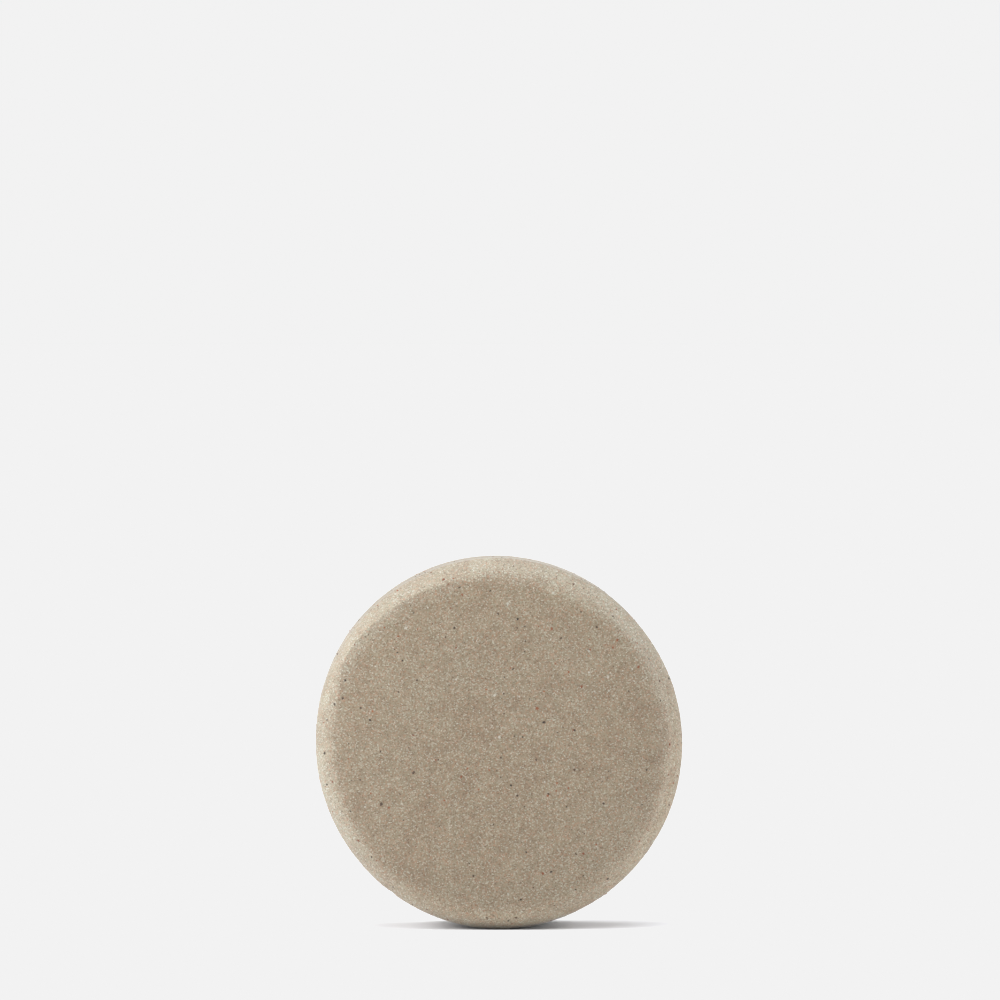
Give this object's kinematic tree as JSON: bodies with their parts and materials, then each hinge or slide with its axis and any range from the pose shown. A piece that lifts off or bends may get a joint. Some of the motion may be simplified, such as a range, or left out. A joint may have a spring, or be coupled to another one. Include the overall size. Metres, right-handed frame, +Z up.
{
  "type": "shaving soap puck",
  "caption": "Round puck of hard clay shaving soap with rounded edges and mineral grains set in its skin, standing on its edge.",
  "frame": {"origin": "on the floor under the middle of the disc, where the edge of the standing puck touches down", "axes": "the puck stands on its edge: +Y runs along the disc's axis from the front face to the back face, +X runs across the disc and +Z is up"},
  "size_m": [0.07, 0.025, 0.07],
  "materials": {
    "clay_soap": "matte",
    "dark_mineral": "matte",
    "rust_mineral": "matte",
    "pale_mineral": "satin"
  },
  "bodies": {
    "root": {"soap_body": "clay_soap", "dark_grains": "dark_mineral", "rust_grains": "rust_mineral", "pale_grains": "pale_mineral"}
  },
  "joints": []
}
